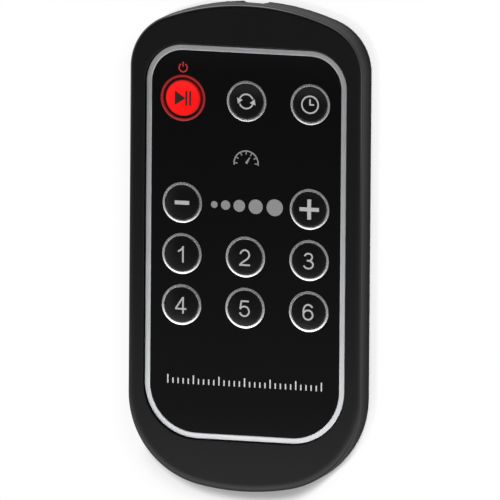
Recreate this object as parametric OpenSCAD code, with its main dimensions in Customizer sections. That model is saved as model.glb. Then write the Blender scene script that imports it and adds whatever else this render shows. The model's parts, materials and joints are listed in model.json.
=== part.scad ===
// Handheld control unit for a compression therapy pump.
// It lies on its back: +X right, +Y towards the emitter end, +Z out of the keys.
// The origin is the centre of the flat back face.

/* [Body] */
// Length of the body along Y
body_l = 133.4; // [130:0.2:150]
// Width of the body along X
body_w = 65.6; // [64:0.2:72]
// Thickness of the body along Z
body_t = 15; // [15:0.5:20]
// Height of the joint between the two shells
parting_z = 7.6; // [7.2:0.1:9]
// Wall of both shells
wall_t = 1.6; // [1.2:0.1:2]
// Floor of the rear shell
floor_t = 1.6; // [1.4:0.1:2]
// Radius of the shallow arc across the emitter end
top_arc_r = 63.5; // [55:0.5:90]
// Corner radius in plan at the emitter end
top_corner_r = 15; // [12:0.5:20]
// Radius of the shallow arc across the lower end
bottom_arc_r = 64; // [55:0.5:90]
// Corner radius in plan at the lower end
bottom_corner_r = 25; // [20:0.5:27]
// Rounding of the rear edge
rear_edge_r = 7; // [5:0.5:7]
// Rounding of the front lip
front_edge_r = 1; // [0.5:0.1:1.5]

/* [Front face] */
// Distance from the side of the body to the silver frame
frame_side = 4.5; // [4:0.1:6]
// Distance from the emitter end of the body to the silver frame
frame_top = 11.75; // [10:0.05:14]
// Distance from the lower end of the body to the silver frame
frame_bottom = 13.85; // [12:0.05:16]
// Width of the silver band seen from the front
frame_band = 1.5; // [1:0.1:2.5]
// Corner radius of the frame at the emitter end
frame_top_r = 10.4; // [8:0.2:12]
// Corner radius of the frame at the lower end
frame_bottom_r = 15; // [12:0.2:18]
// Depth of the panel face below the front lip
panel_drop = 1; // [0.6:0.1:1.4]
// Thickness of the glossy panel
panel_t = 0.9; // [0.6:0.1:1.2]
// Height of the frame above the panel face
frame_rise = 0.15; // [0:0.05:0.4]
// Bevel on the outer edge of the frame
frame_bevel = 0.35; // [0.1:0.05:0.6]
// Thickness of the shelf under the panel
shelf_t = 1; // [0.8:0.1:1.2]
// Gap around the frame in its recess
frame_gap = 0.45; // [0.3:0.05:0.8]
// Gap between the panel and the frame
panel_gap = 0.05; // [0.02:0.01:0.2]

/* [Keys] */
// Distance from the inside of the frame to the outer key columns
key_edge = 8.8; // [8:0.1:10]
// Distance between the three lower key rows
key_pitch_y = 14; // [13.6:0.2:16]
// Distance of the upper key row from the middle of the body
upper_row_y = 40.25; // [36:0.25:41]
// Distance from the upper row down to the minus and plus row
row_drop = 28.6; // [26:0.2:32]
// Outer radius of the ring round a key
ring_r = 5.64; // [5:0.02:6]
// Width of the ring round a key
ring_band = 0.76; // [0.5:0.02:1]
// Outer radius of the ring round the start key
start_ring_r = 6.35; // [6:0.05:6.6]
// Width of the ring round the start key
start_ring_band = 0.78; // [0.5:0.02:1]
// Radius of the start key
start_key_r = 4.9; // [4.4:0.05:5]
// Height of the rings above the panel face
ring_rise = 0.3; // [0.1:0.05:0.6]
// Height of the crown of a key above the panel face
key_rise = 0.35; // [0.1:0.05:0.6]
// How much lower the rim of a key is than its crown
key_crown = 0.25; // [0.1:0.05:0.4]
// Travel of a key
key_travel = 0.6; // [0.3:0.05:0.7]
// Gap round a key in its hole
key_gap = 0.15; // [0.1:0.01:0.3]
// Width of the flange that keeps a key in
key_flange = 0.75; // [0.5:0.05:1]
// Thickness of the flange that keeps a key in
key_flange_t = 0.8; // [0.5:0.1:1]
// Gap between the flange and the shelf above it
flange_gap = 0.2; // [0.1:0.05:0.4]

/* [Key mat and board] */
// Thickness of the rubber mat
mat_t = 0.8; // [0.5:0.1:1]
// Radius of the rubber plunger under a key
plunger_r = 3; // [2.4:0.1:3.6]
// Radius of the mat opening round a plunger
mat_hole_r = 4.2; // [4:0.1:4.8]
// Thickness of the carbon pill on a plunger
pill_t = 0.3; // [0.2:0.05:0.4]
// Radius of the carbon pill on a plunger
pill_r = 2.2; // [1.6:0.1:2.4]
// Gap left under the pill when a key is fully pressed
press_gap = 0.1; // [0.05:0.05:0.2]
// Thickness of the circuit board
board_t = 1.2; // [0.8:0.1:1.6]
// How far the circuit board reaches past the battery contacts
board_side = 0.65; // [0.5:0.05:1]
// Distance from the emitter end of the body to the circuit board
board_end = 10.2; // [10:0.1:14]
// How far the circuit board reaches below the lowest rings
board_foot = 2.4; // [2:0.1:3]
// Corner radius of the circuit board
board_r = 6; // [3:0.5:8]
// Side of the control chip
chip_w = 7; // [5:0.5:9]
// Thickness of the control chip
chip_t = 1.2; // [0.8:0.1:2]
// Radius of a capacitor can
can_r = 2; // [1.5:0.1:2.3]
// Length of a capacitor can
can_l = 3.6; // [2.5:0.1:4]

/* [Board parts] */
// Place of the control chip along the body
chip_y = 12; // [8:0.5:16]
// Leads on each side of the chip
chip_leads = 8; // [4:1:8]
// Distance between the leads of the chip
lead_pitch = 0.8; // [0.6:0.1:0.8]
// Width of a lead
lead_w = 0.4; // [0.3:0.05:0.5]
// Thickness of a lead
lead_t = 0.2; // [0.15:0.05:0.3]
// Length of a lead
lead_l = 0.9; // [0.6:0.1:1.2]
// Length of the crystal can
crystal_l = 10.5; // [8:0.5:12]
// Radius of the round ends of the crystal can
crystal_r = 2.2; // [1.8:0.1:2.4]
// Height of the crystal can
crystal_h = 3.4; // [3:0.1:4]
// Length of the lamp under the start key
led_l = 1.6; // [1:0.1:2]
// Width of the lamp under the start key
led_w = 0.7; // [0.5:0.05:0.75]
// Height of the lamp under the start key
led_h = 0.6; // [0.4:0.1:0.7]
// Gap between the lamp and the plunger
led_gap = 0.25; // [0.2:0.01:0.26]
// Width of the rubber mat beside its outer openings
mat_side = 1.3; // [0.8:0.1:1.5]
// Margin of the rubber mat inside the board edge
mat_margin = 0.8; // [0.5:0.1:1]
// Radius of a post under the board
board_post_r = 1.4; // [1:0.1:2]
// Distance of the posts from the side of the board
board_post_edge = 3.5; // [2.5:0.5:6]
// Place of the lower pair of posts
board_post_low_y = -12; // [-16:1:0]
// Place of the upper pair of posts
board_post_top_y = 30; // [26:1:40]

/* [Shell joint] */
// Height of the tongue between the shells
tongue_h = 1; // [0.6:0.1:1.2]
// Thickness of the tongue between the shells
tongue_t = 0.7; // [0.5:0.1:0.9]
// Gap between the tongue and the front shell
tongue_gap = 0.15; // [0.1:0.05:0.2]
// Thickness of the ribs that hold the screw bosses
rib_t = 1; // [0.8:0.1:1.6]

/* [Batteries] */
// Diameter of a battery
cell_d = 10.2; // [10:0.05:10.25]
// Length of a battery without its nub
cell_l = 43.5; // [43:0.1:43.8]
// Length of the nub of a battery
nub_l = 1; // [0.8:0.1:1.2]
// Diameter of the nub of a battery
nub_d = 3.8; // [3:0.1:4.5]
// Gap between the two batteries
cell_gap = 0.5; // [0.3:0.1:1]
// Gap between a battery and the walls of the bay
bay_gap = 0.35; // [0.2:0.05:0.6]
// Gap between a battery and the shelf above it
cell_top_gap = 0.15; // [0.1:0.05:0.2]
// Gap between the bay and the circuit board
board_gap = 0.9; // [0.6:0.1:1.2]
// Gap between the walls of the bay and the shelf above them
bay_top_gap = 0.3; // [0.2:0.05:0.4]
// Wall of the battery bay
bay_wall = 1; // [0.8:0.1:1.4]
// Length of a spring in the closed bay
spring_l = 4.4; // [3.5:0.1:5.5]
// How far the wide end of a spring lies inside the edge of a battery
spring_edge = 2; // [1.6:0.1:2.4]
// Wire diameter of a spring
wire_d = 0.5; // [0.4:0.05:0.6]
// Turns of a spring
spring_turns = 4; // [3:1:5]
// Thickness of a contact plate
plate_t = 0.4; // [0.3:0.05:0.5]
// Width of a contact plate
plate_w = 8.4; // [7:0.2:9]
// How far a contact plate reaches below the middle of a battery
plate_low = 4.1; // [3.6:0.1:4.3]
// Gap between a contact plate and the tab that passes over it
plate_gap = 0.4; // [0.3:0.1:0.6]
// Height of the tabs that run to the board
tab_h = 1; // [0.6:0.1:1.1]
// Gap between the upper tab and the top of the bay
tab_gap = 0.2; // [0.1:0.05:0.3]
// How far the tabs reach over the board
tab_reach = 1.2; // [0.8:0.1:1.6]

/* [Battery door] */
// How far the side of the battery door lies inside the contacts
door_side = 0.45; // [0.4:0.05:0.6]
// Thickness of the battery door
door_t = 1.3; // [1.1:0.1:1.3]
// How far the door face lies inside the back face
door_inset = 0.15; // [0.1:0.05:0.2]
// Gap round the door
door_gap = 0.3; // [0.2:0.05:0.4]
// Height of the door at the lower end
door_lip_z = 4.4; // [4:0.1:5]
// Width of the hooks that guide the door
hook_w = 0.9; // [0.7:0.1:1]
// Thickness of the hooks that guide the door
hook_t = 0.8; // [0.6:0.1:0.9]
// Length of the hooks that guide the door
hook_l = 3.5; // [2.5:0.5:3.5]
// Distance between the two hooks on a side
hook_pitch = 8.5; // [7:0.5:9]
// Distance from the edge of the door to the first hook
hook_edge = 2.5; // [2:0.1:3]
// Gap between a hook and the floor it slides on
hook_gap = 0.15; // [0.1:0.05:0.2]
// Number of grip grooves on the door
grip_count = 5; // [3:1:7]
// Distance between the grip grooves
grip_pitch = 1.8; // [1.4:0.1:2.2]
// Distance from the edge of the door to the first grip groove
grip_edge = 5; // [4:0.5:8]
// Length of the grip grooves
grip_l = 15; // [8:1:24]
// Depth of the grip grooves
grip_depth = 0.4; // [0.2:0.1:0.6]

/* [Emitter] */
// Radius of the scoop in the end wall
scoop_r = 8; // [6:0.5:12]
// Depth of the scoop in the end wall
scoop_depth = 1.25; // [0.8:0.05:1.4]
// Height of the top of the scoop
scoop_z = 10.4; // [9:0.1:11]
// Width of the emitter window
window_w = 7; // [5:0.5:8]
// Height of the emitter window
window_h = 4; // [3.6:0.1:4.2]
// Thickness of the emitter window
window_t = 1.2; // [0.8:0.1:1.6]
// Gap round the emitter window
window_gap = 0.05; // [0.02:0.01:0.1]
// How far the window lies behind the scoop
window_inset = 0.3; // [0.1:0.05:0.4]
// Diameter of the emitter
emitter_d = 3; // [2.6:0.1:3.4]
// Length of the emitter
emitter_l = 5.2; // [4.5:0.1:6]
// Thickness of the flange of the emitter
emitter_flange = 0.9; // [0.6:0.1:1.2]
// Distance between the legs of the emitter
emitter_pitch = 1.6; // [1.2:0.1:2]
// Gap between the emitter and its window
emitter_gap = 0.3; // [0.2:0.05:0.4]
// How far the legs of the emitter lie inside the edge of the board
leg_in = 2; // [1.4:0.1:3]

/* [Screws] */
// Distance of the screws from the side of the body
screw_edge = 4.2; // [4.1:0.05:4.3]
// Distance of the upper pair of screws from the emitter end of the body
screw_top = 21.7; // [20:0.1:26]
// Distance of the lower pair of screws from the lower edge of the board
screw_low = 6.4; // [6:0.1:10]
// Diameter of a screw shank
screw_d = 2; // [1.8:0.1:2.2]
// Diameter of a screw head
head_d = 3.8; // [3.4:0.1:4]
// Thickness of a screw head
head_t = 1.3; // [1:0.1:1.5]
// Height of the underside of a screw head
head_seat_z = 3.6; // [3.2:0.1:4]
// Length of a screw shank
shank_l = 7.2; // [6:0.1:7.6]
// Diameter of a screw boss
boss_d = 5.4; // [5:0.1:5.6]
// Gap round a screw shank and a screw head
screw_gap = 0.2; // [0.1:0.05:0.3]
// Length of the cross slot in a screw head
slot_l = 2.2; // [1.6:0.1:2.6]
// Width of the cross slot in a screw head
slot_w = 0.5; // [0.4:0.1:0.7]

/* [Hidden] */

$fn = 64;
// Facets of an arc of the outline in plan
arc_steps = 12;
// Layers of a rounded edge
edge_steps = 6;
// Small overlap that joins two solids
layer_t = 0.01;
// Small overlap that makes a cut clean
cut = 1;
// Facets of the shallow crown of a key
crown_fn = 360;
// Angle between the first point of an end arc and the corner arc beside it
join_a = 1;

half_l = body_l / 2;
half_w = body_w / 2;
panel_z = body_t - panel_drop;
shelf_z = panel_z - panel_t;
shelf_under_z = shelf_z - shelf_t;
frame_half_w = half_w - frame_side;
frame_top_y = half_l - frame_top;
frame_low_y = frame_bottom - half_l;
key_pitch_x = frame_half_w - frame_band - key_edge;

// Key places: [x, y, ring outer radius, ring band, key radius]
left_x = -key_pitch_x;
right_x = key_pitch_x;
level_row_y = upper_row_y - row_drop;
cap_r = ring_r - ring_band - key_gap;
function plain_key(x, y) = [x, y, ring_r, ring_band, cap_r];
start_place = [left_x, upper_row_y, start_ring_r, start_ring_band, start_key_r];
mode_place = plain_key(0, upper_row_y);
time_place = plain_key(right_x, upper_row_y);
minus_place = plain_key(left_x, level_row_y);
plus_place = plain_key(right_x, level_row_y);
function number_place(n) = plain_key(
    left_x + key_pitch_x * ((n - 1) % 3),
    level_row_y - key_pitch_y * (1 + floor((n - 1) / 3))
);
number_places = [for (n = [1:6]) number_place(n)];
ring_places = concat([mode_place, time_place, minus_place, plus_place], number_places);
all_places = concat([start_place], ring_places);

// Heights of the key stack, from the shelf down to the board
flange_top_z = shelf_under_z - flange_gap;
key_under_z = flange_top_z - key_flange_t;
board_z = key_under_z - mat_t - key_travel - press_gap - pill_t;
pill_z = board_z + key_travel + press_gap;
board_under_z = board_z - board_t;
board_top_y = half_l - board_end;
board_low_y = level_row_y - 2 * key_pitch_y - ring_r - board_foot;
mat_half_w = key_pitch_x + mat_hole_r + mat_side;
mat_low_y = board_low_y + mat_margin;
mat_top_y = upper_row_y + mat_hole_r + 2 * mat_margin;

// Battery bay
cell_r = cell_d / 2;
bay_top_y = board_low_y - bay_wall - board_gap;
cell_1_y = bay_top_y - bay_gap - cell_r;
cell_2_y = cell_1_y - cell_d - cell_gap;
bay_low_y = cell_2_y - cell_r - bay_gap;
cell_z = shelf_under_z - cell_top_gap - cell_r;
bay_half_w = (cell_l + nub_l + spring_l + 2 * plate_t) / 2;
bay_top_z = shelf_under_z - bay_top_gap;
board_half_w = bay_half_w + board_side;
board_post_x = board_half_w - board_post_edge;
spring_r = cell_r - spring_edge;
spring_tip_r = nub_d / 2;
plate_half = plate_w / 2;
upper_tab_z = bay_top_z - tab_h - tab_gap;
lower_tab_z = board_under_z - tab_h;

// Battery door
door_half_w = bay_half_w - door_side;
door_top_y = bay_top_y - door_gap;
hook_z = floor_t + hook_gap;
wall_foot_z = hook_z + hook_t + door_gap;
hook_y = door_top_y - hook_edge;
grip_y = door_top_y - grip_edge;

// Emitter
window_z = parting_z - window_h;
emitter_y = half_l - scoop_depth - window_inset - window_t - emitter_gap;
emitter_z = window_z + window_h / 2;
leg_y = board_top_y - leg_in;

// Screws
screw_x = half_w - screw_edge;
screw_top_y = half_l - screw_top;
screw_low_y = board_low_y + screw_low;

// Steps in a turn of a spring and sides of its wire
coil_steps = 10;
coil_sides = 6;

// Outline of the body: arcs of two end curves, drawn in by inset
function arc(cx, cy, r, a0, a1) = [
    for (i = [0:arc_steps])
        let (a = a0 + (a1 - a0) * i / arc_steps) [cx + r * cos(a), cy + r * sin(a)]
];
function corner_y(arc_r, corner_r) =
    half_l - arc_r + sqrt(pow(arc_r - corner_r, 2) - pow(half_w - corner_r, 2));
function corner_a(arc_r, corner_r) = acos((half_w - corner_r) / (arc_r - corner_r));
function end_curve(arc_r, corner_r, inset) =
    let (a = corner_a(arc_r, corner_r), x = half_w - corner_r, y = corner_y(arc_r, corner_r))
    concat(
        arc(x, y, corner_r - inset, 0, a),
        arc(0, half_l - arc_r, arc_r - inset, a + join_a, 180 - join_a - a),
        arc(-x, y, corner_r - inset, 180 - a, 180)
    );
function turned(points) = [for (p = points) [-p[0], -p[1]]];
function body_outline(inset) = concat(
    end_curve(top_arc_r, top_corner_r, inset),
    turned(end_curve(bottom_arc_r, bottom_corner_r, inset))
);

// Outline of the panel and its frame, drawn in by inset
function panel_outline(inset) =
    let (
        w = frame_half_w - inset, y1 = frame_top_y - inset, y0 = frame_low_y + inset,
        rt = frame_top_r - inset, rb = frame_bottom_r - inset
    )
    concat(
        arc(w - rt, y1 - rt, rt, 0, 90), arc(rt - w, y1 - rt, rt, 90, 180),
        arc(rb - w, y0 + rb, rb, 180, 270), arc(w - rb, y0 + rb, rb, 270, 360)
    );

module slab(z0, z1, points) {
    translate([0, 0, z0])
        linear_extrude(height = z1 - z0)
            polygon(points);
}

// A solid that joins outlines of the body, each drawn in by an inset at a height
module outline_stack(insets, heights) {
    n = len(body_outline(0));
    last = (len(heights) - 1) * n;
    points = [
        for (i = [0:len(heights) - 1])
            for (p = body_outline(insets[i]))
                [p[0], p[1], heights[i]]
    ];
    sides = [
        for (i = [0:len(heights) - 2])
            for (j = [0:n - 1])
                let (k = (j + 1) % n, low = i * n, high = low + n)
                [low + j, high + j, high + k, low + k]
    ];
    bottom = [for (j = [0:n - 1]) j];
    top = [for (j = [0:n - 1]) last + n - 1 - j];
    polyhedron(points = points, faces = concat([bottom], sides, [top]));
}

edge_angles = [for (i = [0:edge_steps]) 90 - 90 * i / edge_steps];

// A block of the body outline whose lower edge is rounded
module rounded_below(z0, z1, inset, r) {
    outline_stack(
        concat([for (a = edge_angles) inset + r * (1 - cos(a))], [inset]),
        concat([for (a = edge_angles) z0 + r * (1 - sin(a))], [z1])
    );
}

// A block of the body outline whose upper edge is rounded
module rounded_above(z0, z1, r) {
    outline_stack(
        concat([0], [for (a = edge_angles) r * (1 - sin(a))]),
        concat([z0], [for (a = edge_angles) z1 - r * (1 - cos(a))])
    );
}

module block(x0, x1, y0, y1, z0, z1) {
    translate([x0, y0, z0])
        cube([x1 - x0, y1 - y0, z1 - z0]);
}

// A block between two distances from the middle plane, on the side given by 1 or -1
module side_block(side, near, far, y0, y1, z0, z1) {
    block(min(side * near, side * far), max(side * near, side * far), y0, y1, z0, z1);
}

module post(x, y, z0, z1, r) {
    translate([x, y, z0])
        cylinder(h = z1 - z0, r = r);
}

module at_screws() {
    for (x = [-screw_x, screw_x])
        for (y = [screw_low_y, screw_top_y])
            translate([x, y, 0])
                children();
}

module scoop(extra) {
    post(0, half_l - scoop_depth + scoop_r, -cut, scoop_z + extra, scoop_r + extra);
}

module ring(place) {
    translate([place[0], place[1], shelf_z])
        difference() {
            cylinder(h = panel_t + ring_rise, r = place[2]);
            translate([0, 0, -cut])
                cylinder(h = panel_t + ring_rise + 2 * cut, r = place[2] - place[3]);
        }
}

// A key cap: a stem with a crowned top, and the flange that keeps it in
module key_cap(place) {
    r = place[4];
    top_z = panel_z + key_rise;
    crown_r = (r * r + key_crown * key_crown) / (2 * key_crown);
    translate([place[0], place[1], 0])
        rotate_extrude()
            union() {
                translate([0, key_under_z])
                    square([r + key_flange, key_flange_t]);
                intersection() {
                    translate([0, key_under_z])
                        square([r, top_z - key_under_z]);
                    translate([0, top_z - crown_r])
                        circle(r = crown_r, $fn = crown_fn);
                }
            }
}

// A silicone plunger with the carbon pill that closes the contact
module plunger(place) {
    translate([place[0], place[1], 0]) {
        translate([0, 0, pill_z + pill_t])
            cylinder(h = key_under_z - pill_z - pill_t, r = plunger_r);
        translate([0, 0, pill_z])
            cylinder(h = pill_t + layer_t, r = pill_r);
    }
}

module tongue_ring(z0, z1, inset_out, inset_in) {
    difference() {
        slab(z0, z1, body_outline(inset_out));
        slab(z0 - cut, z1 + cut, body_outline(inset_in));
    }
}

module boss(z0, z1, x, y) {
    side = x > 0 ? 1 : -1;
    post(x, y, z0, z1, boss_d / 2);
    side_block(side, screw_x, half_w - wall_t / 2, y - rib_t / 2, y + rib_t / 2, z0, z1);
}

module bosses(z0, z1) {
    for (x = [-screw_x, screw_x])
        for (y = [screw_low_y, screw_top_y])
            boss(z0, z1, x, y);
}

module bay_walls() {
    outer = bay_half_w + bay_wall;
    difference() {
        union() {
            block(-outer, outer, bay_top_y, bay_top_y + bay_wall, floor_t / 2, bay_top_z);
            block(-outer, outer, bay_low_y - bay_wall, bay_low_y, wall_foot_z, bay_top_z);
            for (side = [-1, 1])
                side_block(
                    side, bay_half_w, outer, bay_low_y - bay_wall, bay_top_y + bay_wall,
                    wall_foot_z, bay_top_z
                );
        }
        block(
            -bay_half_w - bay_wall / 2, -bay_half_w + plate_t + door_gap, bay_top_y - cut,
            bay_top_y + bay_wall + cut, lower_tab_z - door_gap, bay_top_z + cut
        );
    }
}

module board_posts() {
    for (x = [-board_post_x, board_post_x])
        for (y = [board_post_low_y, board_post_top_y])
            post(x, y, floor_t / 2, board_under_z, board_post_r);
}

module door_opening() {
    wide = door_half_w + door_gap;
    block(-wide, wide, -half_l - cut, bay_top_y, -cut, wall_foot_z);
    block(-wide, wide, -half_l - cut, bay_low_y - bay_wall, -cut, door_lip_z + door_gap);
}

module rear_shell() {
    tongue_out = wall_t + tongue_gap;
    tongue_in = tongue_out + tongue_t;
    window_y = half_l - 3 * wall_t - scoop_depth;
    color([0.11, 0.11, 0.115])
        difference() {
            union() {
                difference() {
                    rounded_below(0, parting_z, 0, rear_edge_r);
                    rounded_below(floor_t, parting_z + cut, wall_t, rear_edge_r - wall_t);
                }
                tongue_ring(parting_z - tongue_h, parting_z, wall_t / 2, tongue_in);
                tongue_ring(parting_z - layer_t, parting_z + tongue_h, tongue_out, tongue_in);
                intersection() {
                    rounded_below(0, parting_z, wall_t / 2, rear_edge_r - wall_t / 2);
                    bosses(0, parting_z);
                }
                bay_walls();
                board_posts();
            }
            at_screws() {
                post(0, 0, -cut, head_seat_z, head_d / 2 + screw_gap);
                post(0, 0, 0, parting_z + tongue_h + cut, screw_d / 2 + screw_gap);
                post(0, 0, parting_z, parting_z + tongue_h + cut, boss_d / 2 + screw_gap);
            }
            door_opening();
            scoop(0);
            block(
                -window_w / 2, window_w / 2, window_y, half_l,
                window_z, parting_z + tongue_h + cut
            );
        }
}

module front_shell() {
    color([0.12, 0.12, 0.125])
        difference() {
            union() {
                difference() {
                    rounded_above(parting_z, body_t, front_edge_r);
                    slab(parting_z - cut, shelf_under_z, body_outline(wall_t));
                }
                difference() {
                    bosses(parting_z, shelf_under_z + layer_t);
                    at_screws()
                        cylinder(h = head_seat_z + shank_l + cut, r = screw_d / 2 + layer_t);
                }
            }
            slab(shelf_z, body_t + cut, panel_outline(-frame_gap));
            for (place = all_places)
                post(place[0], place[1], shelf_under_z - cut, shelf_z + cut, place[4] + key_gap);
            scoop(0);
        }
}

module panel_frame() {
    color([0.72, 0.72, 0.73])
        difference() {
            hull() {
                slab(shelf_z, panel_z + frame_rise - frame_bevel, panel_outline(0));
                slab(panel_z, panel_z + frame_rise, panel_outline(frame_bevel));
            }
            slab(shelf_z - cut, body_t, panel_outline(frame_band));
        }
}

module control_panel() {
    color([0.05, 0.05, 0.055])
        difference() {
            slab(shelf_z, panel_z, panel_outline(frame_band + panel_gap));
            for (place = all_places)
                post(place[0], place[1], shelf_z - cut, body_t, place[2] + panel_gap);
        }
}

module key_rings() {
    color([0.7, 0.7, 0.71])
        for (place = ring_places)
            ring(place);
}

module start_ring() {
    color([0.65, 0.2, 0.2])
        ring(start_place);
}

module black_key(place) {
    color([0.08, 0.08, 0.085])
        key_cap(place);
}

module red_key(place) {
    color([0.95, 0.1, 0.1])
        key_cap(place);
}

module grey_plunger(place) {
    color([0.4, 0.4, 0.42])
        plunger(place);
}

module keypad_mat() {
    color([0.35, 0.35, 0.37])
        difference() {
            block(-mat_half_w, mat_half_w, mat_low_y, mat_top_y, board_z, board_z + mat_t);
            for (place = all_places)
                post(place[0], place[1], board_z - cut, board_z + mat_t + cut, mat_hole_r);
            at_screws()
                post(0, 0, board_z - cut, board_z + mat_t + cut, boss_d / 2 + 2 * screw_gap);
        }
}

module circuit_board() {
    x = board_half_w - board_r;
    y = board_top_y - board_r;
    color([0.1, 0.35, 0.15])
        difference() {
            union() {
                for (side = [-1, 1])
                    post(side * x, y, board_under_z, board_z, board_r);
                block(-x, x, board_low_y, board_top_y, board_under_z, board_z);
                block(-board_half_w, board_half_w, board_low_y, y, board_under_z, board_z);
            }
            at_screws()
                post(0, 0, board_under_z - cut, board_z + cut, boss_d / 2 + 2 * screw_gap);
        }
}

module control_chip() {
    half = chip_w / 2;
    top_z = board_under_z - lead_t;
    color([0.15, 0.15, 0.15]) {
        block(-half, half, chip_y - half, chip_y + half, top_z - chip_t, top_z);
        for (side = [-1, 1])
            for (i = [0:chip_leads - 1]) {
                y = chip_y + (i - (chip_leads - 1) / 2) * lead_pitch;
                side_block(
                    side, half - lead_t, half + lead_l, y - lead_w / 2, y + lead_w / 2,
                    top_z - lead_t, board_under_z
                );
            }
    }
}

module crystal() {
    x = crystal_l / 2 - crystal_r;
    color([0.75, 0.75, 0.76])
        translate([0, chip_y - chip_w / 2 - crystal_r - lead_l * 2, board_under_z - crystal_h]) {
            for (side = [-1, 1])
                translate([side * x, 0, 0])
                    cylinder(h = crystal_h, r = crystal_r);
            translate([-x, -crystal_r, 0])
                cube([2 * x, 2 * crystal_r, crystal_h]);
        }
}

module capacitors() {
    color([0.2, 0.22, 0.3])
        for (x = [-can_r * 3, 0, can_r * 3])
            post(x, chip_y + chip_w / 2 + can_r * 2, board_under_z - can_l, board_under_z, can_r);
}

module start_led() {
    y = upper_row_y + plunger_r + led_gap;
    color([1, 0.85, 0.85])
        block(left_x - led_l / 2, left_x + led_l / 2, y, y + led_w, board_z, board_z + led_h);
}

module emitter() {
    lens_r = emitter_d / 2;
    color([0.25, 0.2, 0.35]) {
        translate([0, emitter_y, emitter_z])
            rotate([90, 0, 0]) {
                translate([0, 0, lens_r])
                    cylinder(h = emitter_l - lens_r - emitter_flange, r = lens_r);
                translate([0, 0, emitter_l - emitter_flange - layer_t])
                    cylinder(h = emitter_flange, r = lens_r + emitter_flange / 3);
                translate([0, 0, lens_r])
                    sphere(r = lens_r);
            }
        for (x = [-emitter_pitch / 2, emitter_pitch / 2]) {
            block(
                x - lead_w / 2, x + lead_w / 2, leg_y, emitter_y - emitter_l + lead_w,
                emitter_z - lead_w / 2, emitter_z + lead_w / 2
            );
            block(
                x - lead_w / 2, x + lead_w / 2, leg_y, leg_y + lead_w,
                emitter_z - lead_w / 2, board_under_z
            );
        }
    }
}

module emitter_window() {
    half = window_w / 2 - window_gap;
    color([0.2, 0.05, 0.1])
        difference() {
            block(
                -half, half, emitter_y + emitter_gap, half_l,
                window_z + window_gap, parting_z - window_gap
            );
            scoop(window_inset);
        }
}

// A battery along X, its nub towards side
module battery(y, side) {
    start_x = -bay_half_w + plate_t + spring_l;
    color([0.25, 0.45, 0.6])
        translate([side * start_x, y, cell_z])
            rotate([0, side * 90, 0]) {
                cylinder(h = cell_l, r = cell_r);
                cylinder(h = cell_l + nub_l, r = nub_d / 2);
            }
}

// Wire of a conical spring along X, its wide end at the plate
module battery_spring(y, side) {
    steps = spring_turns * coil_steps;
    wire_r = wire_d / 2;
    run = spring_l - wire_d - 2 * layer_t;
    points = [
        for (i = [0:steps])
            let (a = 360 * i / coil_steps, r = spring_r + (spring_tip_r - spring_r) * i / steps)
            for (j = [0:coil_sides - 1])
                let (b = 360 * j / coil_sides, rr = r + wire_r * cos(b))
                [wire_r + layer_t + run * i / steps + wire_r * sin(b), rr * cos(a), rr * sin(a)]
    ];
    side_faces = [
        for (i = [0:steps - 1])
            for (j = [0:coil_sides - 1])
                let (k = (j + 1) % coil_sides, p = i * coil_sides, q = p + coil_sides)
                for (f = [[p + j, q + j, q + k], [p + j, q + k, p + k]]) f
    ];
    first_end = [for (j = [1:coil_sides - 2]) [0, j, j + 1]];
    last = steps * coil_sides;
    last_end = [for (j = [1:coil_sides - 2]) [last, last + j + 1, last + j]];
    translate([side * (plate_t - bay_half_w), y, cell_z])
        rotate([0, 0, side > 0 ? 0 : 180])
            polyhedron(points = points, faces = concat(side_faces, first_end, last_end));
}

module battery_springs() {
    color([0.8, 0.8, 0.8]) {
        battery_spring(cell_1_y, 1);
        battery_spring(cell_2_y, -1);
    }
}

module contact_plates() {
    low_z = cell_z - plate_low;
    high_z = upper_tab_z - plate_gap;
    tab_top_z = upper_tab_z + tab_h;
    in_x = bay_half_w - plate_t;
    tab_y = board_low_y + tab_reach;
    near = cell_1_y - plate_half;
    far = cell_2_y - plate_half;
    color([0.78, 0.78, 0.78]) {
        side_block(1, in_x, bay_half_w, far, cell_1_y + plate_half, low_z, high_z);
        side_block(-1, in_x, bay_half_w, near, near + plate_w, low_z, high_z);
        side_block(-1, in_x, bay_half_w, cell_1_y, tab_y, lower_tab_z, board_under_z);
        side_block(-1, in_x, bay_half_w, far, far + plate_w, low_z, tab_top_z);
        side_block(-1, in_x, bay_half_w, cell_2_y, tab_y, upper_tab_z, tab_top_z);
        side_block(-1, in_x, bay_half_w, board_low_y + layer_t, tab_y, board_z, tab_top_z);
    }
}

module door_hooks() {
    foot_z = door_inset + door_t / 2;
    top_z = hook_z + hook_t;
    in_x = door_half_w - hook_w;
    out_x = door_half_w + hook_w;
    for (side = [-1, 1])
        for (y = [hook_y, hook_y - hook_pitch]) {
            side_block(side, in_x, door_half_w, y - hook_l, y, foot_z, top_z);
            side_block(side, in_x, out_x, y - hook_l, y, hook_z, top_z);
        }
}

module battery_door() {
    inner = door_inset + door_t;
    color([0.1, 0.1, 0.105]) {
        difference() {
            intersection() {
                rounded_below(door_inset, parting_z, door_inset, rear_edge_r - door_inset);
                block(-door_half_w, door_half_w, -half_l, door_top_y, 0, door_lip_z);
            }
            rounded_below(inner, parting_z, inner, rear_edge_r - inner);
            for (i = [0:grip_count - 1]) {
                y = grip_y - i * grip_pitch;
                block(
                    -grip_l / 2, grip_l / 2, y, y + grip_pitch / 2,
                    -cut, door_inset + grip_depth
                );
            }
        }
        door_hooks();
    }
}

module screws() {
    slot_z = head_seat_z - head_t / 2;
    color([0.6, 0.6, 0.62])
        at_screws() {
            difference() {
                post(0, 0, head_seat_z - head_t, head_seat_z, head_d / 2);
                for (a = [0, 90])
                    rotate([0, 0, a])
                        block(-slot_l / 2, slot_l / 2, -slot_w / 2, slot_w / 2, 0, slot_z);
            }
            post(0, 0, head_seat_z - layer_t, head_seat_z - layer_t + shank_l, screw_d / 2);
        }
}

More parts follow.
